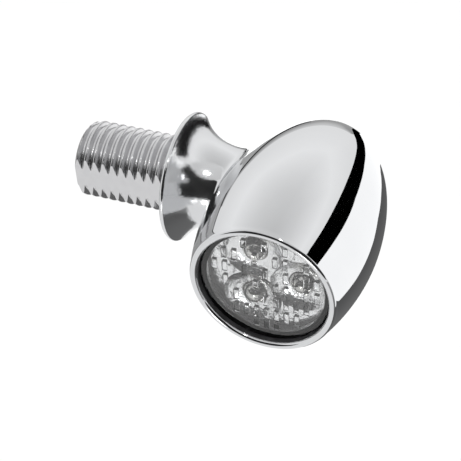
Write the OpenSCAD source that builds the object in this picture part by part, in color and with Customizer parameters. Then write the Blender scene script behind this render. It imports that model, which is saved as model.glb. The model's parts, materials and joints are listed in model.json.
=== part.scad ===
// LED turn signal indicator for a motorcycle.
// A hollow M8 stud carries a chromed bullet head that swivels about the stem
// before the stud's nut is tightened. Origin: centre of the flange's seat face.
// +X runs along the stem to the head, the lens faces -Y, +Z is up. Millimetres.

/* [Stud] */
// Outer diameter of the stud's thread
thread_d = 8; // [7.6:0.1:9]
// Pitch of the thread
thread_pitch = 1; // [0.75:0.05:1.25]
// Length of thread that stands out behind the flange
thread_l = 10.9; // [9:0.1:16]
// Distance from the stem axis to the milled key flat
flat_offset = 3.35; // [3.1:0.05:3.6]
// Chamfer at the stud's free end
thread_chamfer = 0.35; // [0.2:0.05:0.6]
// Diameter of the plain spigot that the head turns on
spigot_d = 5.6; // [4.65:0.05:5.8]
// Bore through the stud for the two leads
lead_bore_d = 3.6; // [3.2:0.1:4]
// Depth of the collar pocket that the stud's shoulder enters
collar_depth = 0.4; // [0.2:0.05:0.8]

/* [Neck] */
// Diameter of the flange that seats on the bracket
flange_d = 13.5; // [12:0.1:16]
// Radius of the flange's rounded edge
flange_lip_r = 0.3; // [0.3:0.05:0.6]
// Diameter of the neck's waist
neck_d = 7.9; // [7.6:0.1:9.4]
// Length over which the flange narrows to the waist
flare_l = 7.8; // [5:0.1:8]
// How quickly the flange narrows (higher is quicker)
flare_power = 3.9; // [3:0.1:6]
// How far the neck widens again where it meets the head
root_flare = 1.2; // [0.6:0.1:1.6]
// Length of stem from the flange's seat face to the side of the head
neck_l = 5; // [4.5:0.1:8]

/* [Head] */
// Largest diameter of the bullet head
head_d = 17; // [16.4:0.1:20.4]
// Width of the rim's front face and rounded edges together
rim_w = 0.75; // [0.7:0.05:1.4]
// Stem axis to the widest section, towards the lens
widest_l = 5.5; // [4.5:0.1:6.5]
// Stem axis to the closed end
back_l = 10.6; // [10:0.1:14]
// Fullness of the closed end (2 is an ellipse)
back_power = 1.87; // [1.7:0.01:2.2]
// Radius of the rim's rounded edges
rim_lip_r = 0.35; // [0.25:0.05:0.35]
// Wall of the closed end
shell_wall = 1.1; // [0.8:0.1:1.4]
// Bore that holds the lens, the reflector and the LED board
lens_bore_d = 12.9; // [10.7:0.05:13.2]
// Width of the shelf that the LED board seats on
shelf_w = 0.55; // [0.4:0.05:0.8]

/* [Optics] */
// How far the lens sits back from the rim
lens_recess = 0.7; // [0.3:0.1:1]
// Thickness of the lens face
lens_t = 0.8; // [0.8:0.1:1.4]
// Depth of the lens's side wall behind its face
lens_skirt_l = 0.6; // [0.6:0.1:1.4]
// Thickness of the lens's side wall
lens_skirt_t = 0.6; // [0.4:0.1:0.9]
// Thickness of the seal ring behind the lens
seal_t = 0.3; // [0.3:0.1:0.8]
// Depth of the reflector
reflector_l = 1.4; // [1.4:0.02:2]
// Width of the reflector's flat edge outside the cups
reflector_edge_w = 0.4; // [0.2:0.05:0.6]
// Direction of the first LED, counter-clockwise from +X
led_angle = 118; // [80:1:140]
// Diameter of a reflector cup at its mouth
cup_mouth_d = 5.8; // [5.2:0.1:6]
// Diameter of an LED's clear dome
dome_d = 2.5; // [2.2:0.1:2.6]
// Side of an LED's square package
package_w = 2.6; // [2.5:0.1:2.9]
// Height of an LED's package
package_h = 0.5; // [0.4:0.05:0.6]

/* [Boards] */
// Thickness of the aluminium LED board
led_board_t = 0.8; // [0.6:0.1:1]
// Thickness of the thermal pad
pad_t = 0.4; // [0.3:0.1:0.6]
// Thickness of the heat spreader
spreader_t = 2.4; // [1:0.1:2.4]
// Height of the feet between the heat spreader and the driver board
foot_h = 1.8; // [0.4:0.1:1.8]
// Space between the driver board and the swivel's retaining clip
clip_space = 0.35; // [0.3:0.05:0.8]
// Thickness of the driver board
driver_board_t = 0.6; // [0.4:0.1:0.7]
// Diameter of a board screw's head
screw_head_d = 1.7; // [1.4:0.1:1.9]
// Diameter of a board screw's shank
screw_d = 1; // [0.8:0.1:1.2]
// Diameter of a pin between the two boards
pin_d = 0.5; // [0.4:0.05:0.6]
// Diameter of a lead over its insulation
lead_d = 1; // [0.8:0.05:1.1]

/* [Swivel] */
// Thickness of the thrust washer
thrust_washer_t = 0.3; // [0.2:0.05:0.4]
// Height of the compressed wave washer
wave_washer_h = 0.32; // [0.28:0.02:0.4]
// Thickness of the retaining clip
clip_t = 0.5; // [0.4:0.05:0.6]
// Depth of the clip's groove in the spigot
clip_groove_depth = 0.35; // [0.25:0.05:0.4]
// Radial width of the washers and the clip
washer_w = 0.9; // [0.7:0.05:1]
// Cord thickness of the stud's O-ring
o_ring_t = 0.9; // [0.8:0.05:1]

/* [Grommet] */
// Diameter of the cable grommet in the stud's free end
grommet_d = 4.8; // [4.4:0.1:5]
// Depth of the grommet's pocket
grommet_l = 3; // [2:0.1:4]
// Radius of the grommet's rounded outer edge
grommet_edge_r = 0.4; // [0.2:0.05:0.6]

/* [Hidden] */
$fn = 96;

// Clearances
running_gap = 0.05;   // radial, spigot and washers that turn
fitted_gap = 0.05;    // radial, pieces that drop into a bore
face_gap = 0.02;      // axial, between faces that turn on each other
overcut = 1;          // how far a cutter runs past a face

// Thread form of an ISO metric external thread
thread_r = thread_d / 2;
root_r = thread_r - 0.6134 * thread_pitch;
crest_w = thread_pitch / 8;
root_w = thread_pitch / 4;
groove_mouth = thread_pitch - crest_w;
groove_count = floor((thread_l - thread_chamfer - crest_w) / thread_pitch);

// Driving sums of the head
head_x = neck_l + head_d / 2;
rim_d = lens_bore_d + 2 * rim_w;
back_bore_d = lens_bore_d - 2 * shelf_w;

// Stations along the stem
spigot_r = spigot_d / 2;
neck_bore_r = spigot_r + running_gap;
collar_r = thread_r - 0.25;
washer_r = spigot_r + running_gap + washer_w;
seat_pocket_r = washer_r + running_gap;
seat_x = head_x - back_bore_d / 2 + 0.1;
wave_x = seat_x + thrust_washer_t + face_gap;
clip_x = wave_x + wave_washer_h + face_gap;
groove_w = clip_t + 2 * face_gap;
spigot_end_x = clip_x + groove_w + 0.4;
clip_r = spigot_r - clip_groove_depth;
o_ring_mid_r = spigot_r + o_ring_t / 2;
o_ring_x = collar_depth + o_ring_t / 2;
collar_pocket_r = max(thread_r, spigot_r + o_ring_t) + 0.1;
collar_pocket_x = collar_depth + o_ring_t + face_gap;

// Retaining clip's eyes, the widest turning pieces in the head
clip_eye_r = 0.65;
clip_mid_r = (clip_r + washer_r) / 2;

// Stations along the lens axis, measured forward from the stem axis: the boards
// stand clear of the clip, and the rim is as far forward as the stack needs
driver_back = clip_mid_r + clip_eye_r + clip_space;
driver_front = driver_back + driver_board_t;
spreader_back = driver_front + foot_h;
spreader_front = spreader_back + spreader_t;
board_seat = spreader_front + pad_t;
led_face = board_seat + led_board_t;
reflector_front = led_face + reflector_l;
skirt_back = reflector_front + seal_t;
lens_back = skirt_back + lens_skirt_l;
lens_front = lens_back + lens_t;
front_l = lens_front + lens_recess;
stack_r = lens_bore_d / 2 - fitted_gap;
pad_r = back_bore_d / 2 - 0.3;
spreader_r = back_bore_d / 2;
driver_r = back_bore_d / 2 - 0.4;
dome_r = dome_d / 2;
led_circle_r = stack_r - reflector_edge_w - cup_mouth_d / 2;
pocket_h = package_h + 0.1;     // room behind the reflector for packages and screws
cup_floor_t = 0.2;
screw_inset = 0.9;              // from the LED board's edge to a screw's head
screw_circle_r = stack_r - screw_inset - screw_head_d / 2;
screw_angles = [for (i = [0:2]) led_angle - 60 + 120 * i];
led_angles = [for (i = [0:2]) led_angle + 120 * i];
foot_angles = [for (i = [0:2]) led_angle - 30 + 120 * i];
pin_angles = [-10, 10];
pin_inset = 0.6;                // from an LED's package to a pin's middle
pin_circle_r = led_circle_r + package_w / 2 + pin_inset;
lead_gap = lead_d / 2 + 0.25;   // lead's centre to the stem axis
pad_spot = [-0.42, 0.22] * driver_r;   // solder pads on the driver board, mirrored about the middle

// Outline of the head: closed end, then the waistless front, as [radius, forward]
function back_r(f) = head_d / 2 * sqrt(max(0, 1 - pow((widest_l - f) / (widest_l + back_l), back_power)));
function front_r(f) = head_d / 2 - (head_d - rim_d) / 2
    * pow((f - widest_l) / (front_l - rim_lip_r - widest_l), 2);
back_turns = 24;
back_f = [for (i = [0:back_turns]) widest_l - (widest_l + back_l) * sin(90 * (1 - i / back_turns))];
front_steps = 8;
front_f = [for (i = [1:front_steps]) widest_l + (front_l - rim_lip_r - widest_l) * i / front_steps];
lip_turns = 6;
head_outline = concat(
    [for (f = back_f) [back_r(f), f]],
    [for (f = front_f) [front_r(f), f]],
    [for (i = [1:lip_turns]) [rim_d / 2 - rim_lip_r * (1 - cos(90 * i / lip_turns)),
                              front_l - rim_lip_r * (1 - sin(90 * i / lip_turns))]],
    [[0, front_l]]);

// Cavity behind the LED board: a straight bore that turns to follow the closed end
function wall_r(f) = back_r(f) - shell_wall;
cavity_f = [for (f = back_f) if (f > shell_wall - back_l && wall_r(f) < back_bore_d / 2 && f < 0) f];
cavity_outline = concat(
    [[0, shell_wall - back_l]],
    [for (f = cavity_f) [max(0.2, wall_r(f)), f]],
    [[back_bore_d / 2, cavity_f[len(cavity_f) - 1] + 1], [back_bore_d / 2, board_seat], [0, board_seat]]);

// Outline of the neck as [radius, distance from the seat face]: rounded lip, flare, waist, root
flange_r = flange_d / 2;
neck_r = neck_d / 2;
lip_sweep = 125;
lip_turns_neck = 8;
lip_end_r = flange_r - flange_lip_r * (1 - sin(lip_sweep));
lip_end_x = flange_lip_r * (1 - cos(lip_sweep));
root_x = head_x - head_d / 2 - 0.5;
root_end_x = head_x - back_bore_d / 2 + 0.4;
function flare_r(x) = neck_r + (lip_end_r - neck_r)
    * pow(max(0, 1 - (x - lip_end_x) / flare_l), flare_power);
function root_swell(x) = root_flare * pow(max(0, (x - root_x) / (root_end_x - root_x)), 2.5);
neck_steps = 26;
neck_outline = concat(
    [[0, 0]],
    [for (i = [0:lip_turns_neck]) let (a = lip_sweep * i / lip_turns_neck)
        [flange_r - flange_lip_r * (1 - sin(a)), flange_lip_r * (1 - cos(a))]],
    [for (i = [1:neck_steps]) let (x = lip_end_x + (root_end_x - lip_end_x) * i / neck_steps)
        [flare_r(x) + root_swell(x), x]],
    [[0, root_end_x]]);

// Places a child on the lens axis, with its own +Z forward and +Y up
module on_lens_axis(f = 0) { translate([head_x, -f, 0]) rotate([90, 0, 0]) children(); }

// Places a child on the stem axis, with its own +Z towards the head
module on_stem_axis(x = 0) { translate([x, 0, 0]) rotate([0, 90, 0]) children(); }

module ring(outer_r, inner_r, h) {
    difference() {
        cylinder(r = outer_r, h = h);
        translate([0, 0, -overcut]) cylinder(r = inner_r, h = h + 2 * overcut);
    }
}

module polar(angle, radius) { translate([radius * cos(angle), radius * sin(angle), 0]) children(); }

// One turned bar: thread crests and grooves, shoulder, spigot and clip groove
module threaded_stud() {
    start = -thread_l;
    first = start + thread_chamfer + crest_w;
    outline = concat(
        [[0, start], [thread_r - thread_chamfer, start], [thread_r, start + thread_chamfer]],
        [for (i = [0:groove_count - 1]) let (g = first + i * thread_pitch) each [
            [thread_r, g],
            [root_r, g + (groove_mouth - root_w) / 2],
            [root_r, g + (groove_mouth + root_w) / 2],
            [thread_r, g + groove_mouth]]],
        [[thread_r, 0], [collar_r, 0], [collar_r, collar_depth], [spigot_r, collar_depth],
         [spigot_r, clip_x - face_gap], [clip_r, clip_x - face_gap],
         [clip_r, clip_x + clip_t + face_gap], [spigot_r, clip_x + clip_t + face_gap],
         [spigot_r, spigot_end_x], [0, spigot_end_x]]);
    color("silver") difference() {
        on_stem_axis() rotate_extrude() polygon(outline);
        on_stem_axis(start - overcut) cylinder(d = lead_bore_d, h = thread_l + spigot_end_x + 2 * overcut);
        on_stem_axis(start - overcut) cylinder(d = grommet_d, h = grommet_l + overcut);
        translate([start - overcut, -thread_d, -thread_d])
            cube([thread_l + overcut, thread_d - flat_offset, 2 * thread_d]);
    }
}

// Rubber plug, flush with the stud's end, with two lead holes
module cable_grommet() {
    edge_turns = 5;
    outline = concat(
        [[0, 0]],
        [for (i = [0:edge_turns]) let (a = 90 * i / edge_turns)
            [grommet_d / 2 - grommet_edge_r * (1 - sin(a)), grommet_edge_r * (1 - cos(a))]],
        [[grommet_d / 2, grommet_l], [0, grommet_l]]);
    color("dimgray") difference() {
        on_stem_axis(-thread_l) rotate_extrude() polygon(outline);
        for (side = [-1, 1]) translate([0, 0, side * lead_gap])
            on_stem_axis(-thread_l - overcut) cylinder(d = lead_d, h = grommet_l + 2 * overcut);
    }
}

module stud_o_ring() {
    color("black") on_stem_axis(o_ring_x) rotate_extrude()
        translate([o_ring_mid_r, 0]) circle(d = o_ring_t, $fn = 32);
}

// Thin spring washer with three waves, held nearly flat
module wave_washer() {
    sheet_t = 0.2;
    wave_h = (wave_washer_h - sheet_t) / 2;
    turns = 48;
    inner = spigot_r + 2 * running_gap;
    outer = washer_r - running_gap;
    function height(i) = sheet_t / 2 + wave_h + wave_h * sin(3 * 360 * i / turns);
    points = [for (i = [0:turns - 1]) let (a = 360 * i / turns, h = height(i)) each [
        [inner * cos(a), inner * sin(a), h - sheet_t / 2],
        [outer * cos(a), outer * sin(a), h - sheet_t / 2],
        [outer * cos(a), outer * sin(a), h + sheet_t / 2],
        [inner * cos(a), inner * sin(a), h + sheet_t / 2]]];
    faces = [for (i = [0:turns - 1]) let (n = (i + 1) % turns) for (k = [0:3]) let (m = (k + 1) % 4) each [
        [4 * i + k, 4 * n + k, 4 * n + m], [4 * i + k, 4 * n + m, 4 * i + m]]];
    color("gainsboro") on_stem_axis(wave_x) polyhedron(points = points, faces = faces);
}

// Circlip in the spigot's groove, with two eyes at its gap
module retaining_clip() {
    eye_hole_r = 0.28;
    gap_angle = 40;
    eye_angle = gap_angle / 2 + 8;
    color("gray") on_stem_axis(clip_x) difference() {
        union() {
            difference() {
                cylinder(r = washer_r - 2 * running_gap, h = clip_t);
                linear_extrude(height = clip_t) polygon([[0, 0],
                    [3 * clip_r * cos(gap_angle / 2), 3 * clip_r * sin(gap_angle / 2)],
                    [3 * clip_r * cos(gap_angle / 2), -3 * clip_r * sin(gap_angle / 2)]]);
            }
            for (side = [-1, 1]) polar(side * eye_angle, clip_mid_r) cylinder(r = clip_eye_r, h = clip_t);
        }
        translate([0, 0, -overcut]) cylinder(r = clip_r, h = clip_t + 2 * overcut);
        for (side = [-1, 1]) polar(side * eye_angle, clip_mid_r)
            translate([0, 0, -overcut]) cylinder(r = eye_hole_r, h = clip_t + 2 * overcut);
    }
}

// Chromed shell: bullet head, neck and flange in one casting, machined inside
module housing() {
    color("lightsteelblue") difference() {
        union() {
            on_lens_axis() rotate_extrude() polygon(head_outline);
            on_stem_axis() rotate_extrude() polygon(neck_outline);
        }
        on_lens_axis() rotate_extrude() polygon(cavity_outline);
        on_lens_axis(board_seat) cylinder(d = lens_bore_d, h = front_l - board_seat + overcut);
        on_lens_axis(front_l - rim_lip_r) rotate_extrude() difference() {
            square([lens_bore_d / 2 + rim_lip_r, rim_lip_r + overcut]);
            translate([lens_bore_d / 2 + rim_lip_r, 0]) circle(r = rim_lip_r);
        }
        on_stem_axis(-overcut) cylinder(r = neck_bore_r, h = head_x + overcut);
        on_stem_axis(-overcut) cylinder(r = collar_pocket_r, h = collar_pocket_x + overcut);
        on_stem_axis(seat_x) cylinder(r = seat_pocket_r, h = head_x - seat_x);
    }
}

module thrust_washer() {
    color("goldenrod") on_stem_axis(seat_x) ring(washer_r, neck_bore_r, thrust_washer_t);
}

// Clear cap: face and side wall
module lens() {
    color("aliceblue", 0.5) on_lens_axis(skirt_back) difference() {
        cylinder(r = stack_r, h = lens_front - skirt_back);
        translate([0, 0, -overcut]) cylinder(r = stack_r - lens_skirt_t, h = lens_skirt_l + overcut);
    }
}

module lens_seal() {
    color("black") on_lens_axis(reflector_front) ring(stack_r, stack_r - lens_skirt_t - 0.05, seal_t);
}

// Metallised moulding with one cup for each LED
module reflector() {
    cup_floor = pocket_h + cup_floor_t;
    cup_h = reflector_l - cup_floor;
    mouth_r = cup_mouth_d / 2;
    hole_r = dome_r + fitted_gap;
    cup_steps = 8;
    cup_outline = concat([[0, 0]],
        [for (i = [0:cup_steps]) let (t = i / cup_steps)
            [hole_r + (mouth_r - hole_r) * sqrt(t), cup_h * t]],
        [[mouth_r, cup_h + overcut], [0, cup_h + overcut]]);
    color("whitesmoke") on_lens_axis(led_face) difference() {
        cylinder(r = stack_r, h = reflector_l);
        translate([0, 0, -overcut]) cylinder(r = stack_r - 0.4, h = pocket_h + overcut);
        for (a = led_angles) polar(a, led_circle_r) {
            translate([0, 0, cup_floor]) rotate_extrude() polygon(cup_outline);
            cylinder(r = hole_r, h = cup_floor + overcut);
        }
    }
}

module led_board() {
    color("ivory") on_lens_axis(board_seat) difference() {
        cylinder(r = stack_r, h = led_board_t);
        for (a = screw_angles) polar(a, screw_circle_r) translate([0, 0, -overcut])
            cylinder(d = screw_d + 2 * fitted_gap, h = led_board_t + 2 * overcut);
        for (a = pin_angles) polar(a, pin_circle_r) translate([0, 0, -overcut])
            cylinder(d = pin_d + 2 * fitted_gap, h = led_board_t + 2 * overcut);
    }
}

module led_body(i) {
    color("white") on_lens_axis(led_face) polar(led_angles[i], led_circle_r)
        translate([-package_w / 2, -package_w / 2, 0]) cube([package_w, package_w, package_h]);
}

module led_dome(i) {
    color("lemonchiffon") on_lens_axis(led_face + package_h) polar(led_angles[i], led_circle_r)
        intersection() {
            sphere(r = dome_r);
            cylinder(r = 2 * dome_r, h = 2 * dome_r);
        }
}

// Cap screw with a hexagon socket
module board_screw(i) {
    head_h = 0.4;
    socket_w = 0.8;
    shank_l = led_board_t + pad_t + spreader_t - 0.2;
    color("darkgray") on_lens_axis(led_face) polar(screw_angles[i], screw_circle_r) difference() {
        union() {
            cylinder(d = screw_head_d, h = head_h);
            translate([0, 0, -shank_l]) cylinder(d = screw_d, h = shank_l);
        }
        translate([0, 0, head_h / 2]) cylinder(d = socket_w, h = head_h, $fn = 6);
    }
}

module thermal_pad() {
    color("lightpink") on_lens_axis(spreader_front) difference() {
        cylinder(r = pad_r, h = pad_t);
        for (a = screw_angles) polar(a, screw_circle_r) translate([0, 0, -overcut])
            cylinder(d = screw_d + 4 * fitted_gap, h = pad_t + 2 * overcut);
        for (a = pin_angles) polar(a, pin_circle_r) translate([0, 0, -overcut])
            cylinder(d = pin_d + 6 * fitted_gap, h = pad_t + 2 * overcut);
    }
}

// Aluminium disc with tapped holes for the screws and feet for the driver board
module heat_spreader() {
    foot_d = 1.4;
    color("lightgray") on_lens_axis(spreader_back) difference() {
        union() {
            cylinder(r = spreader_r, h = spreader_t);
            for (a = foot_angles) polar(a, driver_r - foot_d / 2) translate([0, 0, -foot_h])
                cylinder(d = foot_d, h = foot_h + spreader_t / 2);
        }
        for (a = screw_angles) polar(a, screw_circle_r) translate([0, 0, 0.2])
            cylinder(d = screw_d, h = spreader_t + overcut);
        for (a = pin_angles) polar(a, pin_circle_r) translate([0, 0, -overcut])
            cylinder(d = pin_d + 6 * fitted_gap, h = spreader_t + 2 * overcut);
    }
}

module board_pin(i) {
    tail = 0.3;
    color("gold") on_lens_axis(driver_back - tail) polar(pin_angles[i], pin_circle_r)
        cylinder(d = pin_d, h = led_face - driver_back + 2 * tail);
}

module driver_board() {
    color("darkgreen") on_lens_axis(driver_back) difference() {
        cylinder(r = driver_r, h = driver_board_t);
        for (a = pin_angles) polar(a, pin_circle_r) translate([0, 0, -overcut])
            cylinder(d = pin_d + 2 * fitted_gap, h = driver_board_t + 2 * overcut);
    }
}

// Places a part on the driver board's rear side; its middle is given in board radii
module on_driver(middle, size) {
    on_lens_axis(driver_back - size[2])
        translate([middle[0] * driver_r - size[0] / 2, middle[1] * driver_r - size[1] / 2, 0]) children();
}

module chip(middle, size, tone) { color(tone) on_driver(middle, size) cube(size); }

module driver_ic() { chip([0.16, -0.53], [2.6, 2.2, 0.9], "black"); }

module inductor() {
    size = [3, 3, 1.8];
    color("dimgray") on_driver([0.24, 0.44], size) difference() {
        cube(size);
        translate([size[0] / 2, size[1] / 2, -overcut]) cylinder(r = 0.7, h = overcut + 0.3);
    }
}

module diode() { chip([0.66, -0.22], [1.4, 2.2, 1], "black"); }

module capacitor(i) { chip([-0.25 - 0.05 * i, 0.62 - 1.24 * i], [1.1, 1.8, 0.9], "tan"); }

module resistor(i) { chip([0.02 + 0.27 * i, -0.16], [1.2, 0.7, 0.4], "black"); }

// Solder cone that closes round a lead's end
module solder_joint(side) {
    joint_h = 0.7;
    color("silver") on_lens_axis(driver_back - joint_h)
        translate([pad_spot[0], side * pad_spot[1], 0]) difference() {
            cylinder(r1 = lead_d / 2 + 0.1, r2 = lead_d / 2 + 0.35, h = joint_h);
            translate([0, 0, -overcut]) cylinder(d = lead_d, h = joint_h + 2 * overcut);
        }
}

// Route of a lead from the grommet to its solder pad, as [along stem, back, sideways]
lead_steps = 10;
lead_route = concat(
    [for (x = [-thread_l + 1, -thread_l + 4, 0, spigot_end_x - 0.4]) [x, 0, lead_gap]],
    let (start = [spigot_end_x - 0.4, 0, lead_gap],
         finish = [head_x + pad_spot[0], -driver_back, pad_spot[1]],
         corner = [finish[0], 0, (start[2] + finish[2]) / 2])
    [for (i = [1:lead_steps]) let (t = i / lead_steps, u = 1 - t)
        u * u * start + 2 * u * t * corner + t * t * finish]);

// Round tube swept along a route that lies nearly in one plane
module tube(route, d) {
    sides = 8;
    last = len(route) - 1;
    function unit(v) = v / norm(v);
    function heading(i) = unit(route[min(i + 1, last)] - route[max(i - 1, 0)]);
    points = [for (i = [0:last]) let (h = heading(i), u = unit(cross(h, [0, 0, 1])), v = cross(h, u))
        for (k = [0:sides - 1]) let (a = 360 * k / sides)
            route[i] + d / 2 * (cos(a) * u + sin(a) * v)];
    walls = [for (i = [0:last - 1]) for (k = [0:sides - 1]) let (m = (k + 1) % sides) each [
        [sides * i + k, sides * i + m, sides * (i + 1) + m],
        [sides * i + k, sides * (i + 1) + m, sides * (i + 1) + k]]];
    caps = [[for (k = [sides - 1:-1:0]) k], [for (k = [0:sides - 1]) sides * last + k]];
    polyhedron(points = points, faces = concat(walls, caps));
}

module lead_positive() { color("firebrick") tube(lead_route, lead_d - 2 * face_gap); }

module lead_ground() {
    color("black") mirror([0, 0, 1]) tube(lead_route, lead_d - 2 * face_gap);
}

threaded_stud();
cable_grommet();
stud_o_ring();
wave_washer();
retaining_clip();
housing();
thrust_washer();
lens();
lens_seal();
reflector();
led_board();
led_body(0);  // led_body_1
led_body(1);  // led_body_2
led_body(2);  // led_body_3
led_dome(0);  // led_dome_1
led_dome(1);  // led_dome_2
led_dome(2);  // led_dome_3
board_screw(0);  // board_screw_1
board_screw(1);  // board_screw_2
board_screw(2);  // board_screw_3
thermal_pad();
heat_spreader();
board_pin(0);  // board_pin_1
board_pin(1);  // board_pin_2
driver_board();
driver_ic();
inductor();
diode();
capacitor(0);  // capacitor_1
capacitor(1);  // capacitor_2
resistor(0);  // resistor_1
resistor(1);  // resistor_2
solder_joint(1);  // solder_joint_1
solder_joint(-1);  // solder_joint_2
lead_positive();
lead_ground();
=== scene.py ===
import bpy
import bmesh
import json
from math import cos, sin, pi, radians, sqrt
from mathutils import Matrix, Vector


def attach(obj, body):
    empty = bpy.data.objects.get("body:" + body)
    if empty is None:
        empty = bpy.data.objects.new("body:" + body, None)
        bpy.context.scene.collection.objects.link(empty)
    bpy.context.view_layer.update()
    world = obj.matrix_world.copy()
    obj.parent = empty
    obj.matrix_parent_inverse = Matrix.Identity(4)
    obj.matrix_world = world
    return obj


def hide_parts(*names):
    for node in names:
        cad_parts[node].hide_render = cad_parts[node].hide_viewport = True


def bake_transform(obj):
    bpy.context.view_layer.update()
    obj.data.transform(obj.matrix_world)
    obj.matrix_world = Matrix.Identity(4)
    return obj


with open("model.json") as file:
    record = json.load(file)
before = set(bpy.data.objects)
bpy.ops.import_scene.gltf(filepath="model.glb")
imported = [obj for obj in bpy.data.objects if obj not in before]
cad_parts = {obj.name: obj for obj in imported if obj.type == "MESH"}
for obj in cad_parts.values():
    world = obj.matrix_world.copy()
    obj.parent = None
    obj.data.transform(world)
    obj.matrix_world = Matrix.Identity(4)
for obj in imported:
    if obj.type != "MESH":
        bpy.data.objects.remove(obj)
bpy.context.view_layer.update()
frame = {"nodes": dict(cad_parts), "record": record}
nodes, record = frame["nodes"], frame["record"]
slotOf = {part["node"]: part["material_slot"] for part in record["subparts"]}
scene = bpy.context.scene
mm = 0.001  # the settings below are in millimetres and degrees
full = 2 * pi


# small helpers

def colour(hexValue):
    parts = [int(hexValue[i:i + 2], 16) / 255 for i in (1, 3, 5)]
    return [c / 12.92 if c <= 0.04045 else ((c + 0.055) / 1.055) ** 2.4 for c in parts] + [1.0]


def addNode(tree, kind, settings=None, links=None):
    node = tree.nodes.new(kind)
    for key, value in (settings or {}).items():
        if isinstance(key, int) or key in node.inputs:
            node.inputs[key].default_value = value
        else:
            setattr(node, key, value)
    for key, source in (links or {}).items():
        tree.links.new(source, node.inputs[key])
    return node


def emptyMaterial(name):
    material = bpy.data.materials.new(name)
    material.use_nodes = True
    material.node_tree.nodes.clear()
    return material, material.node_tree


def objectCoord(tree):
    return addNode(tree, "ShaderNodeTexCoord").outputs["Object"]


def addNoise(tree, coord, size, detail=2, roughness=0.5):  # size of the pattern in millimetres
    settings = {"Scale": 1 / (size * mm), "Detail": detail, "Roughness": roughness}
    return addNode(tree, "ShaderNodeTexNoise", settings, {"Vector": coord}).outputs["Fac"]


def addRange(tree, source, low, high):
    return addNode(tree, "ShaderNodeMapRange", {"To Min": low, "To Max": high}, {0: source}).outputs[0]


def addTones(tree, source, dark, light):
    settings = {"data_type": "RGBA", 6: colour(dark), 7: colour(light)}
    return addNode(tree, "ShaderNodeMix", settings, {0: source}).outputs[2]


def addBump(tree, height, strength, depth):  # depth in millimetres
    return addNode(tree, "ShaderNodeBump", {"Strength": strength, "Distance": depth * mm},
                   {"Height": height}).outputs[0]


def finishMaterial(tree, shader, tint, gloss=None, bump=None):
    links = {"Base Color": tint, "Roughness": gloss, "Normal": bump}
    bsdf = addNode(tree, "ShaderNodeBsdfPrincipled", shader,
                   {key: source for key, source in links.items() if source is not None})
    out = addNode(tree, "ShaderNodeOutputMaterial")
    tree.links.new(bsdf.outputs[0], out.inputs["Surface"])


def arc(middle, radius, first, last, steps):  # round stretch of an outline, angles in degrees
    angles = [radians(first + (last - first) * i / steps) for i in range(steps + 1)]
    return [(middle[0] + radius * cos(a), middle[1] + radius * sin(a)) for a in angles]


def lathe(outline, origin, axis, radial, steps, closed=True):  # outline is (radius, along) in mm
    bm = bmesh.new()
    origin, axis, radial = Vector(origin) * mm, Vector(axis), Vector(radial)
    points = [bm.verts.new(origin + (axis * along + radial * r) * mm) for r, along in outline]
    ends = points[1:] + points[:1] if closed else points[1:]
    edges = [bm.edges.new(pair) for pair in zip(points, ends)]
    bmesh.ops.spin(bm, geom=points + edges, cent=origin, axis=axis, angle=full, steps=steps, use_merge=True)
    bmesh.ops.remove_doubles(bm, verts=bm.verts[:], dist=1e-7)
    bmesh.ops.recalc_face_normals(bm, faces=bm.faces[:])
    return bm


def lensLathe(outline, steps=256, closed=True, at=(0, 0)):  # along is forward, out of the lens
    return lathe(outline, (headSet["axisX"] + at[0], 0, at[1]), (0, -1, 0), (1, 0, 0), steps, closed)


def stemLathe(outline, steps=256, closed=True):  # along is towards the head
    return lathe(outline, (0, 0, 0), (1, 0, 0), (0, 0, 1), steps, closed)


def asObject(bm, name):
    mesh = bpy.data.meshes.new(name)
    bm.to_mesh(mesh)
    bm.free()
    piece = bpy.data.objects.new(name, mesh)
    scene.collection.objects.link(piece)
    return piece


def combine(piece, tool, operation):  # the tool is used up
    cut = piece.modifiers.new("cut", "BOOLEAN")
    cut.operation, cut.object, cut.solver = operation, tool, "MANIFOLD"
    bpy.context.view_layer.update()
    mesh = bpy.data.meshes.new_from_object(piece.evaluated_get(bpy.context.evaluated_depsgraph_get()))
    piece.modifiers.clear()
    old, piece.data = piece.data, mesh
    bpy.data.meshes.remove(old)
    bpy.data.objects.remove(tool)


def place(piece, material, body, replaced, sharpAngle=32):
    piece.data.materials.clear()
    piece.data.materials.append(material)
    piece.data.shade_smooth()
    piece.data.set_sharp_from_angle(angle=radians(sharpAngle))
    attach(piece, body)
    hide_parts(*replaced)
    print("piece:", piece.name, len(piece.data.polygons), "faces")


# camera

cameraSet = {"aim": (5.5, -1.8, -4.4), "azimuth": 23.87, "elevation": 40.2, "roll": -3.57,
             "distance": 127.4, "lens": 96.7}


def addCamera():
    c = cameraSet
    turn, rise = radians(c["azimuth"]), radians(c["elevation"])
    back = Vector((sin(turn) * cos(rise), -cos(turn) * cos(rise), sin(rise)))
    right = Vector((cos(turn), sin(turn), 0))
    up = back.cross(right)
    basis = Matrix((right, up, back)).transposed() @ Matrix.Rotation(radians(c["roll"]), 3, "Z")
    data = bpy.data.cameras.new("camera")
    data.lens, data.sensor_width = c["lens"], 36
    data.clip_start, data.clip_end = 0.005, 20
    camera = bpy.data.objects.new("camera", data)
    spot = (Vector(c["aim"]) + back * c["distance"]) * mm
    camera.matrix_world = Matrix.Translation(spot) @ basis.to_4x4()
    scene.collection.objects.link(camera)
    scene.camera = camera


# studio: pale floor, pale surroundings, one soft lamp, and reflector boards for the chrome to show

studioSet = {"floorLevel": -330, "floorSize": 9000, "boardDistance": 250, "boardStep": 5,
             "chromeGain": 0.66, "lampTurn": 40, "lampRise": 60, "lampDistance": 800,
             "lampSize": 500, "lampPower": 0.5}

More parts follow.
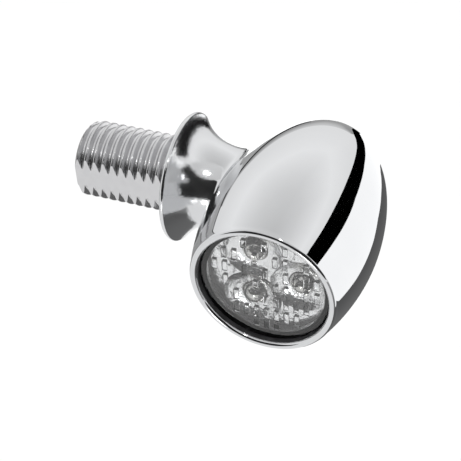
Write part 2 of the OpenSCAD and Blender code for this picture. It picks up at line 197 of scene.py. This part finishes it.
# each board is a run of ribs: (turn, low, high) in degrees; turn 0 looks along +Y and grows towards -X.
# its tones run from the low edge to the high one, times its gain; the first board stands nearest
boards = {
    "blackBand": {"gain": 1, "tones": ["#000000", "#000000"], "ribs": [
        (10, -29, -25), (5, -21.5, -15), (0, -16.5, -8.5), (-10, -8.5, 0.5), (-20, -1, 10.5),
        (-30, 5, 19.5), (-40, 10.3, 26.5), (-50, 13.3, 31.7), (-60, 16.2, 35.3), (-66, 18, 37),
        (-86, 22, 41)]},
    "whitePanel": {"gain": 1, "tones": ["#F4F4F4", "#F4F4F4"], "ribs": [
        (12, -40, -31), (10, -36, -28), (5, -32, -20), (0, -30, -15), (-5, -27, -12), (-10, -25, -8),
        (-20, -24, 0), (-30, -25, 6), (-40, -31, 11), (-50, -36, 14), (-60, -38, 17), (-66, -39, 19),
        (-85, -40, 28), (-100, -40, 32)]},
    "darkTable": {"gain": 1, "tones": ["#5E5E5E", "#5C5C5C", "#4E4E4E"], "ribs": [
        (14, -89, -50), (8, -89, -42), (0, -89, -29.5), (-5, -89, -26.5), (-10, -89, -24.5),
        (-20, -89, -23.5), (-30, -89, -24.5), (-40, -89, -30.5), (-50, -89, -35.5), (-60, -89, -37.5),
        (-66, -89, -38.5),
        (-85, -89, -39.5), (-105, -89, -39.5), (-125, -89, -42), (-145, -89, -50)]},
    "blackLine": {"gain": 1, "tones": ["#050505", "#050505"], "ribs": [
        (75, 3.8, 5.2), (60, 1.8, 3.3), (50, -1.2, 0.6), (45, -3, -1), (40, -5.8, -3.6), (35, -9.2, -6.6),
        (30, -12.7, -9.5), (25, -15.5, -12), (20, -18, -15.5)]},
    "greyWedge": {"gain": 1, "tones": ["#868686", "#8C8C8C", "#C0C0C0"], "ribs": [
        (60, 3, 5), (45, -2, 2), (35, -8, 0), (30, -12, -1), (25, -17, -1.5), (20, -22, -2),
        (15, -30, -2.5), (10, -29, -3), (5, -16, -4), (0, -9, -5.5)]},
    "brightGap": {"gain": 1, "tones": ["#FFFFFF", "#FFFFFF"], "ribs": [
        (34, -31, -17), (30, -33, -14.5), (25, -34, -16), (20, -34, -17.5), (16, -33, -21)]},
    "greySide": {"gain": 1, "tones": ["#7A7A7A", "#9A9A9A"], "ribs": [
        (95, -30, 4), (75, -40, 4.5), (60, -45, 2.6), (50, -45, 0), (45, -45, -2), (40, -45, -4.7),
        (35, -43, -8), (30, -40, -11), (24, -40, -15), (16, -42, -19)]},
    "softPanel": {"gain": 1, "tones": ["#D2D2D2", "#E2E2E2", "#CACACA", "#B8B8B8"], "ribs": [
        (100, 4, 89), (75, 3, 89), (45, 0, 89), (15, -3, 89), (-5, -8, 89), (-35, 10, 89), (-66, 25, 89),
        (-100, 30, 89)]},
    "sparkLow": {"gain": 6, "tones": ["#FFFFFF", "#FFFFFF"], "ribs": [(186, -24, -16), (177, -24, -16)]},
    "sparkHigh": {"gain": 20, "tones": ["#FFFFFF", "#FFFFFF"], "ribs": [(-155, 56, 61), (-163, 56, 61)]},
    "overhead": {"gain": 1, "tones": ["#C0C0C0", "#CACACA"], "ribs": [
        (-100, 46, 89), (-130, 46, 89), (-160, 46, 89), (-190, 46, 89), (-220, 46, 89), (-250, 40, 89)]},
    "lowSide": {"gain": 1, "tones": ["#686868", "#8A8A8A"], "ribs": [
        (-98, -44, 2), (-115, -44, -6), (-130, -46, -10), (-145, -50, -14)]},
    "cameraSide": {"gain": 1, "tones": ["#303030", "#262626", "#2C2C2C"], "ribs": [
        (-104, 4, 40), (-120, -5, 44), (-135, -8, 44), (-150, -10, 44), (-165, -10, 44), (-180, -10, 46),
        (-195, -10, 46), (-210, -8, 46), (-224, 0, 42)]},
}


def direction(turn, rise):
    t, r = radians(turn), radians(rise)
    return Vector((-sin(t) * cos(r), cos(t) * cos(r), sin(r)))


def addBoards():
    s = studioSet
    material, tree = emptyMaterial("reflectorBoard")  # a board lit evenly, its brightness painted along it
    tone = addNode(tree, "ShaderNodeAttribute", {"attribute_name": "tone"})
    glow = addNode(tree, "ShaderNodeEmission", {"Strength": 1 / s["chromeGain"]},
                   {"Color": tone.outputs["Color"]})
    out = addNode(tree, "ShaderNodeOutputMaterial")
    tree.links.new(glow.outputs[0], out.inputs["Surface"])
    centre = Vector((headSet["axisX"], 0, 0)) * mm
    for layer, (name, board) in enumerate(boards.items()):
        distance = (s["boardDistance"] + s["boardStep"] * layer) * mm
        ribs = board["ribs"]
        tones = [Vector(colour(tone)) * board["gain"] for tone in board["tones"]]
        bm = bmesh.new()
        toneLayer = bm.verts.layers.float_color.new("tone")
        bmesh.ops.create_grid(bm, x_segments=len(ribs) - 1, y_segments=12, size=0.5)
        for vert in bm.verts:
            turn, low, high = ribs[round((vert.co.x + 0.5) * (len(ribs) - 1))]
            along = vert.co.y + 0.5
            step = min(len(tones) - 2, int(along * (len(tones) - 1)))
            vert[toneLayer] = tones[step].lerp(tones[step + 1], along * (len(tones) - 1) - step)
            vert.co = centre + direction(turn, low + (high - low) * along) * distance
        piece = asObject(bm, name)
        piece.data.materials.append(material)
        piece.visible_camera = piece.visible_shadow = piece.visible_diffuse = False


def addStudio():
    s = studioSet
    bm = bmesh.new()
    bmesh.ops.create_grid(bm, x_segments=1, y_segments=1, size=s["floorSize"] / 2 * mm)
    bmesh.ops.translate(bm, verts=bm.verts[:], vec=(0, 0, s["floorLevel"] * mm))
    floor = asObject(bm, "floor")
    material, tree = emptyMaterial("paleFloor")  # matt white laminate
    mottle = addNoise(tree, objectCoord(tree), 40)
    finishMaterial(tree, {"Roughness": 0.7, "Specular IOR Level": 0.2},
                   addTones(tree, mottle, "#FBFBFB", "#FFFFFF"))
    floor.data.materials.append(material)
    world = bpy.data.worlds.new("studio")
    world.use_nodes = True
    scene.world = world
    sky = world.node_tree
    sky.nodes["Background"].inputs["Color"].default_value = colour("#FFFFFF")
    sky.nodes["Background"].inputs["Strength"].default_value = 1.0
    data = bpy.data.lights.new("softLamp", "AREA")
    data.shape, data.size, data.energy = "DISK", s["lampSize"] * mm, s["lampPower"]
    lamp = bpy.data.objects.new("softLamp", data)
    away = direction(s["lampTurn"], s["lampRise"])
    lamp.matrix_world = (Matrix.Translation(away * s["lampDistance"] * mm)
                         @ away.to_track_quat("Z", "Y").to_matrix().to_4x4())
    lamp.visible_glossy = False
    scene.collection.objects.link(lamp)
    addBoards()
    scene.view_settings.view_transform = "Standard"
    scene.view_settings.look = "None"
    print("studio:", len(boards), "boards")


# housing: chromed bullet head, neck and flange in one casting

headSet = {"axisX": 13.5, "radius": 8.5, "widest": 5.5, "back": 10.6, "power": 1.87, "front": 13.9,
           "rimR": 7.2, "lip": 0.35, "lensBoreR": 6.45, "backBoreR": 5.9, "seat": 9.3, "wall": 1.1}
neckSet = {"flangeR": 6.75, "lip": 0.3, "lipSweep": 125, "neckR": 3.95, "flareL": 7.8, "flarePower": 3.9,
           "rootFlare": 1.2, "rootX": 4.5, "rootL": 3.5, "rootPower": 2.5,
           "boreR": 2.85, "pocketR": 4.1, "pocketX": 1.32, "filletNeck": 0.85, "filletHead": 0.7}


def headR(f):
    h = headSet
    if f < h["widest"]:
        return h["radius"] * sqrt(max(0, 1 - ((h["widest"] - f) / (h["widest"] + h["back"])) ** h["power"]))
    run = (f - h["widest"]) / (h["front"] - h["lip"] - h["widest"])
    return h["radius"] - (h["radius"] - h["rimR"]) * run ** 2


def neckRadius(x):
    n = neckSet
    endR = n["flangeR"] - n["lip"] * (1 - sin(radians(n["lipSweep"])))
    endX = n["lip"] * (1 - cos(radians(n["lipSweep"])))
    flare = (endR - n["neckR"]) * max(0, 1 - (x - endX) / n["flareL"]) ** n["flarePower"]
    return n["neckR"] + flare + n["rootFlare"] * max(0, (x - n["rootX"]) / n["rootL"]) ** n["rootPower"]


def headSide(radius, angle, depth=0):  # point of the head's left side at this distance from the stem axis
    y, z = radius * cos(angle), radius * sin(angle)
    return Vector((headSet["axisX"] - sqrt(max(0.01, headR(-y) ** 2 - z * z)) + depth, y, z))


def neckMeet(angle):  # station where the neck runs into the head
    low, high = 3.0, 8.0
    for _ in range(30):
        x = (low + high) / 2
        low, high = (low, x) if headSide(neckRadius(x), angle).x < x else (x, high)
    return x


def headOutline():
    h = headSet
    tailL, tailSteps = h["widest"] + h["back"], 84
    frontL, frontSteps = h["front"] - h["lip"] - h["widest"], 24
    tail = [h["widest"] - tailL * sin(pi / 2 * (1 - i / tailSteps)) for i in range(tailSteps + 1)]
    front = [h["widest"] + frontL * i / frontSteps for i in range(1, frontSteps + 1)]
    outer = [(headR(f), f) for f in tail + front]
    lips = arc((h["rimR"] - h["lip"], h["front"] - h["lip"]), h["lip"], 0, 90, 10)[1:]
    lips += arc((h["lensBoreR"] + h["lip"], h["front"] - h["lip"]), h["lip"], 90, 180, 10)
    closeF = h["wall"] - h["back"]
    inner = [(headR(f) - h["wall"], f) for f in tail if closeF < f < 0]
    inner = [(r, f) for r, f in inner if r < h["backBoreR"]]
    inside = [(h["lensBoreR"], h["seat"]), (h["backBoreR"], h["seat"]), (h["backBoreR"], inner[-1][1] + 1)]
    inside += inner[::-1] + [(0, inner[0][1])]
    return outer + lips + inside


def stemAngle(spot):  # about the stem axis, 0 at +Y
    return -Vector((1, 0)).angle_signed(spot.yz.normalized())


def neckShell():
    n = neckSet
    lip = arc((n["flangeR"] - n["lip"], n["lip"]), n["lip"], -90, n["lipSweep"] - 90, 18)
    lipX, flareEnd, flareSteps = lip[-1][1], 3.4, 40
    stations = [lipX + (flareEnd - lipX) * i / flareSteps for i in range(1, flareSteps + 1)]
    flare = [(neckRadius(x), x) for x in stations]
    firstX, stepX, runs, bends = 3.5, 0.05, 8, 16  # stand-in stations, moved to the fillet below
    standIns = [(4.5, firstX + stepX * i) for i in range(runs + bends + 2)]
    lastX = standIns[-1][1]
    hole = [(n["boreR"], lastX), (n["boreR"], n["pocketX"]),
            (n["pocketR"], n["pocketX"]), (n["pocketR"], 0)]
    bm = stemLathe(lip + flare + standIns + hole, 288)
    for vert in bm.verts:
        x = vert.co.x / mm
        flat = vert.co.yz.length / mm
        if x < firstX - stepX / 2 or flat < n["boreR"] + 0.2:
            if x > firstX:  # the bore's inner end, sunk in the head's wall
                vert.co = headSide(n["boreR"], stemAngle(vert.co), 0.6) * mm
            continue
        angle = stemAngle(vert.co)
        step = round((x - firstX) / stepX)
        meetX = neckMeet(angle)
        meet = Vector((meetX, neckRadius(meetX) * cos(angle), neckRadius(meetX) * sin(angle)))
        startX = meetX - n["filletNeck"]
        start = Vector((startX, neckRadius(startX) * cos(angle), neckRadius(startX) * sin(angle)))
        end = headSide(neckRadius(meetX) + n["filletHead"], angle)
        if step < runs:
            here = flareEnd + (startX - flareEnd) * (step + 1) / (runs + 1)
            point = Vector((here, neckRadius(here) * cos(angle), neckRadius(here) * sin(angle)))
        elif step <= runs + bends:
            t = (step - runs) / bends
            point = start * (1 - t) ** 2 + meet * 2 * t * (1 - t) + end * t * t
        else:
            point = headSide(neckRadius(meetX) + n["filletHead"] + 0.08, angle, 0.06)
        vert.co = point * mm
    bmesh.ops.recalc_face_normals(bm, faces=bm.faces[:])
    return bm


def chromeMaterial():
    # nickel-chrome plate on a buffed zinc casting: a mirror on the head, and a pebbled, softer skin
    # where the wheel can't reach, in the throat of the neck
    material, tree = emptyMaterial("platedChrome")
    coord = objectCoord(tree)
    split = addNode(tree, "ShaderNodeSeparateXYZ", links={0: coord})
    throat = addNode(tree, "ShaderNodeMapRange", {"From Min": 5.0 * mm, "From Max": 4.2 * mm},
                     {0: split.outputs["X"]}).outputs[0]
    peel = addNoise(tree, coord, 0.45, 4, 0.6)
    haze = addNoise(tree, coord, 4, 4)
    height = addNode(tree, "ShaderNodeMath", {"operation": "MULTIPLY"}, {0: peel, 1: throat})
    soften = addNode(tree, "ShaderNodeMath", {"operation": "MULTIPLY_ADD", 1: 0.1},
                     {0: throat, 2: addRange(tree, haze, 0.015, 0.04)})
    finishMaterial(tree, {"Metallic": 1.0}, addTones(tree, haze, "#D0D1D3", "#D6D7D8"),
                   soften.outputs[0], addBump(tree, height.outputs[0], 0.5, 0.03))
    return material


def boreShadeMaterial():
    # bore inside the lip: painted shade, near black so it reads as the shadowed gap round the lens, mottled,
    # with a dull gleam
    material, tree = emptyMaterial("paintedShadeBore")
    patches = addNoise(tree, objectCoord(tree), 0.9, 4)
    finishMaterial(tree, {}, addTones(tree, patches, "#1A1A1B", "#4A4A4C"),
                   addRange(tree, patches, 0.3, 0.5), addBump(tree, patches, 0.3, 0.03))
    return material


def addHousing():
    shell = asObject(lensLathe(headOutline(), 288), "bulletHousing")
    boreR, pocketR, outsideX, seatX, insideX = neckSet["boreR"], 3.8, 3, 7.7, 13
    tool = [(0, outsideX), (boreR, outsideX), (boreR, seatX), (pocketR, seatX), (pocketR, insideX),
            (0, insideX)]
    combine(shell, asObject(stemLathe(tool, 96), "stemBore"), "DIFFERENCE")
    neck = asObject(neckShell(), "neckPart")
    bm = bmesh.new()
    bm.from_mesh(shell.data)
    bm.from_mesh(neck.data)
    bm.to_mesh(shell.data)
    bm.free()
    bpy.data.objects.remove(neck)
    place(shell, chromeMaterial(), "head", ["housing"])
    shell.data.materials.append(boreShadeMaterial())
    # the lens bore's faces take the dark painted-shade material in slot 1
    for face in shell.data.polygons:
        middle = face.center / mm
        radius = Vector((middle.x - headSet["axisX"], middle.z)).length
        if radius < headSet["lensBoreR"] + 0.02 and 0 < -middle.y < headSet["front"] - 0.3:
            face.material_index = 1


# threaded stud

studSet = {"r": 4.0, "length": 10.9, "pitch": 1.0, "depth": 0.5, "flat": 3.35,
           "collarR": 3.75, "collarX": 0.4, "spigotR": 2.8, "clipX": 8.36, "clipW": 0.54,
           "clipR": 2.45, "endX": 9.3, "boreR": 1.8, "pocketR": 2.4, "pocketL": 3.0,
           "flanks": 0.9, "rounding": 1.25, "runOut": 0.25, "leadIn": 0.49, "leadSlope": 1.2}


def threadRadius(x, angle):
    s = studSet
    phase = (x / s["pitch"] - angle / full) % 1
    rise = min(1, abs(phase - 0.5) * 2 / s["flanks"])  # 0 in the middle of the groove, 1 on the crest
    rise = (1 - cos(pi * rise ** s["rounding"])) / 2  # rolled form: round root, round-shouldered crest
    radius = s["r"] - s["depth"] * (1 - rise)
    fade = min(1, max(0, -x / s["runOut"]))
    radius = radius * fade + s["r"] * (1 - fade)
    return min(radius, s["r"] - s["leadIn"] + (x + s["length"]) * s["leadSlope"])


def satinMaterial():
    # satin nickel on cold-rolled steel: broad soft highlights, faint marks round the stud, pale flat
    material, tree = emptyMaterial("satinNickel")
    coord = objectCoord(tree)
    turnMarks = addNode(tree, "ShaderNodeMapping", {"Scale": (1, 0.12, 0.12)}, {"Vector": coord})
    marks = addNoise(tree, turnMarks.outputs[0], 0.12)
    spots = addNoise(tree, coord, 0.8, 5)
    finishMaterial(tree, {"Metallic": 1.0}, addTones(tree, spots, "#C2C2C4", "#D2D2D3"),
                   addRange(tree, spots, 0.2, 0.3), addBump(tree, marks, 0.1, 0.006))
    return material


def addStud():
    s = studSet
    start = -s["length"]
    rows = 256
    outer = [(s["r"], start + s["length"] * i / rows) for i in range(rows + 1)]
    grooveX, chamfer, pocketX = s["clipX"] - 0.02, 0.15, start + s["pocketL"]
    turned = [(s["collarR"], 0), (s["collarR"], s["collarX"]), (s["spigotR"], s["collarX"]),
              (s["spigotR"], grooveX), (s["clipR"], grooveX),
              (s["clipR"], grooveX + s["clipW"]), (s["spigotR"], grooveX + s["clipW"]),
              (s["spigotR"], s["endX"] - chamfer), (s["spigotR"] - chamfer, s["endX"]),
              (s["boreR"], s["endX"]), (s["boreR"], pocketX), (s["pocketR"], pocketX), (s["pocketR"], start)]
    bm = stemLathe(outer + turned, 256)
    for vert in bm.verts:
        if vert.co.yz.length > (s["r"] - 0.01) * mm:
            radius = threadRadius(vert.co.x / mm, stemAngle(vert.co))
            vert.co.yz = vert.co.yz.normalized() * radius * mm
    stud = asObject(bm, "hollowStud")
    bm = bmesh.new()
    bmesh.ops.create_cube(bm, size=1)
    bmesh.ops.scale(bm, verts=bm.verts[:], vec=Vector((s["length"] + 1, 4, 12)) * mm)
    bmesh.ops.translate(bm, verts=bm.verts[:],
                        vec=Vector((-(s["length"] + 1) / 2, -s["flat"] - 2, 0)) * mm)
    combine(stud, asObject(bm, "flatCutter"), "DIFFERENCE")
    place(stud, satinMaterial(), "stud", ["threaded_stud"], 50)
    for face in stud.data.polygons:  # the milled flat stays crisp where shallow grooves run into it
        onFlat = face.normal.y < -0.9999 and abs(face.center.y / mm + s["flat"]) < 0.01
        face.use_smooth = not onFlat


# optics: prism lens and metallised reflector

lensSet = {"r": 6.4, "front": 13.2, "inside": 12.4, "skirt": 11.8, "skirtT": 0.6, "edge": 0.15,
           "columnPitch": 1.0, "barW": 0.5, "low": 0.22, "high": 0.38, "taper": 0.86,
           "rows": [(-5.1, 0.8), (-3.75, 1.15), (-2.1, 1.15), (-0.45, 1.1), (1.2, 1.1), (2.85, 1.1),
                    (4.4, 0.9)],  # height of each row's middle, and of its bars
           "open": {(2, -4), (2, -2), (2, -1), (3, -5), (3, -3), (3, -2), (3, 0), (4, -1), (4, -3),
                    (5, -2), (5, 0), (6, -1), (6, 1), (1, -4), (3, 3), (5, 3), (4, 1)}}  # no bar here


def addLens():
    s = lensSet
    middleR, innerR = 4.5, s["r"] - s["skirtT"]
    outline = [(0, s["front"]), (middleR, s["front"])]
    outline += arc((s["r"] - s["edge"], s["front"] - s["edge"]), s["edge"], 90, 0, 5)
    outline += [(s["r"], s["skirt"]), (innerR, s["skirt"]), (innerR, s["inside"])]
    bm = lensLathe(outline, 192, closed=False)
    rim = [e for e in bm.edges if e.is_boundary]
    bmesh.ops.contextual_create(bm, geom=rim)
    x0 = headSet["axisX"]
    lines = [((x0 + (c + side * s["barW"] / 2) * s["columnPitch"], 0, 0), (1, 0, 0))
             for c in range(-5, 6) for side in (-1, 1)]
    lines += [((0, 0, z + side * h / 2), (0, 0, 1)) for z, h in s["rows"] for side in (-1, 1)]
    for point, normal in lines:
        inner = [f for f in bm.faces if abs(f.calc_center_median().y + s["inside"] * mm) < 1e-6
                 and abs(f.normal.y) > 0.9]
        geom = inner + list({e for f in inner for e in f.edges}) + list({v for f in inner for v in f.verts})
        bmesh.ops.bisect_plane(bm, geom=geom, dist=1e-8, plane_co=Vector(point) * mm, plane_no=normal)
    cells = []
    for f in bm.faces:
        middle = f.calc_center_median() / mm
        if abs(middle.y + s["inside"]) > 1e-3 or abs(f.normal.y) < 0.9:
            continue
        column = round((middle.x - x0) / s["columnPitch"])
        inColumn = abs(middle.x - x0 - column * s["columnPitch"]) < s["barW"] / 2 and len(f.verts) == 4
        row = [i for i, (z, h) in enumerate(s["rows"]) if abs(middle.z - z) < h / 2]
        if inColumn and row and (row[0], column) not in s["open"]:
            cells.append(f)
    raised = bmesh.ops.extrude_discrete_faces(bm, faces=cells)["faces"]
    for f in raised:
        middle = f.calc_center_median()
        for vert in f.verts:
            top = vert.co.z > middle.z
            vert.co.x = middle.x + (vert.co.x - middle.x) * s["taper"]
            vert.co.y += (s["high"] if top else s["low"]) * mm
    bmesh.ops.recalc_face_normals(bm, faces=bm.faces[:])
    lens = asObject(bm, "prismLens")
    # moulded clear polycarbonate: strong refraction at the prisms, faint waviness of the mould
    material, tree = emptyMaterial("clearPolycarbonate")
    flow = addNoise(tree, objectCoord(tree), 1.5)
    finishMaterial(tree, {"Roughness": 0.0, "Transmission Weight": 1.0, "IOR": 1.586},
                   addTones(tree, flow, "#F6F7F7", "#FFFFFF"), bump=addBump(tree, flow, 0.3, 0.05))
    place(lens, material, "head", ["lens"], 20)


reflectorSet = {"back": 10.1, "front": 11.5, "r": 6.4, "edgeR": 6.0, "edge": 0.1, "pocket": 0.6,
                "floor": 0.2, "cupSteps": 24, "ledCircle": 3.1, "holeR": 1.3, "mouthR": 2.9,
                "ledAngles": (118, 238, 358)}


def ledSpot(angle, radius):
    return radius * cos(radians(angle)), radius * sin(radians(angle))


def addReflector():
    s = reflectorSet
    base = s["back"] + s["pocket"]
    body = asObject(lensLathe([(0, base), (s["edgeR"], base), (s["edgeR"], s["back"]), (s["r"], s["back"]),
                               (s["r"], s["front"] - s["edge"]), (s["r"] - s["edge"], s["front"]),
                               (0, s["front"])], 192), "cupReflector")
    cupBack = base + s["floor"]
    depth, flareR = s["front"] - cupBack, s["mouthR"] - s["holeR"]
    cup = [(0, s["back"]), (s["holeR"], s["back"]), (s["holeR"], cupBack)]
    cup += [(s["holeR"] + flareR * sqrt(t), cupBack + depth * t)
            for t in [i / s["cupSteps"] for i in range(1, s["cupSteps"] + 1)]]
    cup += [(s["mouthR"] + 0.02, s["front"] + 1), (0, s["front"] + 1)]  # on past the front, to cut clean
    for angle in s["ledAngles"]:
        spot = ledSpot(angle, s["ledCircle"])
        combine(body, asObject(lensLathe(cup, 128, at=spot), "cupCutter"), "DIFFERENCE")
    # vacuum-metallised plastic: aluminium mirror, a little duller than chrome, faint moulding ripple
    material, tree = emptyMaterial("metallisedPlastic")
    ripple = addNoise(tree, objectCoord(tree), 0.55, 3)
    finishMaterial(tree, {"Metallic": 1.0}, addTones(tree, ripple, "#E0E1E3", "#ECECEC"),
                   addRange(tree, ripple, 0.06, 0.16), addBump(tree, ripple, 0.7, 0.12))
    place(body, material, "head", ["reflector"], 30)


# finishes of the carried-over pieces: a dark and a light tone, grain in mm, roughness range, and the rest

finishes = {
    # nitrile rubber, moulded: near black, soft sheen, fine powdery bloom
    "black_rubber": ("mouldedNitrile", "#131313", "#1E1E1F", 0.25, (0.5, 0.68), {}),
    # oiled spring steel strip: dark grey metal with a blued cast
    "spring_steel": ("oiledSpringSteel", "#6C6E73", "#85868A", 0.4, (0.3, 0.42), {"Metallic": 1.0}),
    # rolled phosphor bronze: warm, lightly brushed
    "bronze": ("rolledBronze", "#B98A52", "#CFA26A", 0.3, (0.28, 0.4), {"Metallic": 1.0}),
    # silver-plated LED package: bright, satin, mirrors the dome above it
    "led_package": ("silveredPackage", "#E2E1DC", "#F2F1EE", 0.3, (0.2, 0.32), {"Metallic": 0.85}),
    # clear silicone over the LED's silvered cup: bright and slightly warm, with sharp glints
    "led_silicone": ("clearSilicone", "#F4F2EA", "#FFFFFF", 0.6, (0.0, 0.04),
                     {"Metallic": 0.5, "Transmission Weight": 1.0, "IOR": 1.41}),
    # white solder mask on an aluminium core: even eggshell
    "board_aluminium": ("whiteMaskBoard", "#D8D8D2", "#E8E8E4", 0.35, (0.4, 0.52), {}),
    # zinc plated steel: bluish and bright
    "screw_steel": ("zincPlate", "#A8ABAF", "#C0C2C6", 0.3, (0.25, 0.4), {"Metallic": 1.0}),
    # filled silicone sheet: matt pink, grainy
    "thermal_pad": ("filledSilicone", "#B08088", "#C2949A", 0.15, (0.75, 0.9), {}),
    # turned aluminium: pale, with lathe haze
    "spreader_aluminium": ("turnedAluminium", "#BFC1C3", "#D0D1D2", 0.2, (0.3, 0.45), {"Metallic": 1.0}),
    # gold flash on brass: warm and bright
    "gold_pin": ("goldFlash", "#D2A94E", "#E2BE6C", 0.2, (0.18, 0.3), {"Metallic": 1.0}),
    # glass-epoxy laminate under green mask: woven shadow under a gloss
    "board_laminate": ("greenMaskLaminate", "#0F4524", "#17572F", 0.25, (0.3, 0.45), {}),
    # moulded epoxy: flat charcoal with a fine grain
    "black_epoxy": ("mouldedEpoxy", "#1B1B1D", "#27272A", 0.12, (0.55, 0.7), {}),
    # sintered ferrite: dull grey-black, granular
    "ferrite": ("sinteredFerrite", "#2C2C2E", "#3D3D40", 0.1, (0.5, 0.7), {}),
    # fired ceramic: tan, eggshell
    "ceramic_body": ("firedCeramic", "#8C6E4A", "#A58560", 0.15, (0.4, 0.55), {}),
    # reflowed solder: bright with soft flow marks
    "solder": ("reflowedSolder", "#B4B5B7", "#CDCED0", 0.4, (0.18, 0.32), {"Metallic": 1.0}),
    # extruded PVC insulation: waxy, faint drawing marks
    "lead_red": ("redInsulation", "#7E1210", "#951A16", 0.4, (0.35, 0.5), {}),
    "lead_black": ("blackInsulation", "#151515", "#212121", 0.4, (0.35, 0.5), {}),
}


def grainyMaterial(slotName):
    name, dark, light, size, (glossLow, glossHigh), rest = finishes[slotName]
    material, tree = emptyMaterial(name)
    noise = addNoise(tree, objectCoord(tree), size, 4)
    finishMaterial(tree, rest, addTones(tree, noise, dark, light),
                   addRange(tree, noise, glossLow, glossHigh), addBump(tree, noise, 0.2, 0.02))
    return material


def dressNodes():
    made = {slotName: grainyMaterial(slotName) for slotName in finishes}
    for name, node in nodes.items():
        if slotOf[name] in made:
            node.data.materials.clear()
            node.data.materials.append(made[slotOf[name]])
            node.data.shade_smooth()
            node.data.set_sharp_from_angle(angle=radians(30))
    print("finishes:", len(made))
    return made


# leads: each keeps to the stud in the bore and to the head past it

leadSet = {"r": 0.48, "offset": 0.75, "startX": -9.9, "bendX": 8.9, "straightSteps": 30, "bendSteps": 16,
           "corner": (11.19, 0, 0.98), "end": (11.19, -4.1, 1.21), "turnFrom": 0.4, "turnTo": 8.9}


def addLead(name, side, material, replaced):
    s = leadSet
    start, first = [Vector((x, 0, s["offset"])) for x in (s["startX"], s["bendX"])]
    corner, end = Vector(s["corner"]), Vector(s["end"])
    points = [start.lerp(first, i / s["straightSteps"]) for i in range(s["straightSteps"])]
    points += [first * (1 - t) ** 2 + corner * 2 * t * (1 - t) + end * t * t
               for t in [i / s["bendSteps"] for i in range(s["bendSteps"] + 1)]]
    data = bpy.data.curves.new(name, "CURVE")
    data.dimensions, data.use_fill_caps = "3D", True
    data.bevel_depth, data.bevel_resolution = s["r"] * mm, 4
    line = data.splines.new("POLY")
    line.points.add(len(points) - 1)
    for point, spot in zip(line.points, points):
        point.co = (spot.x * mm, spot.y * mm, side * spot.z * mm, 1)
    guide = bpy.data.objects.new(name, data)
    scene.collection.objects.link(guide)
    bpy.context.view_layer.update()
    mesh = bpy.data.meshes.new_from_object(guide.evaluated_get(bpy.context.evaluated_depsgraph_get()))
    bpy.data.objects.remove(guide)
    lead = bpy.data.objects.new(name, mesh)
    scene.collection.objects.link(lead)
    mesh.materials.clear()
    mesh.materials.append(material)
    mesh.shade_smooth()
    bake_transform(lead)
    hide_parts(replaced)


addCamera()
addStudio()
madeFinishes = dressNodes()
addHousing()
addStud()
addLens()
addReflector()
addLead("leadPositive", 1, madeFinishes["lead_red"], "lead_positive")
addLead("leadGround", -1, madeFinishes["lead_black"], "lead_ground")
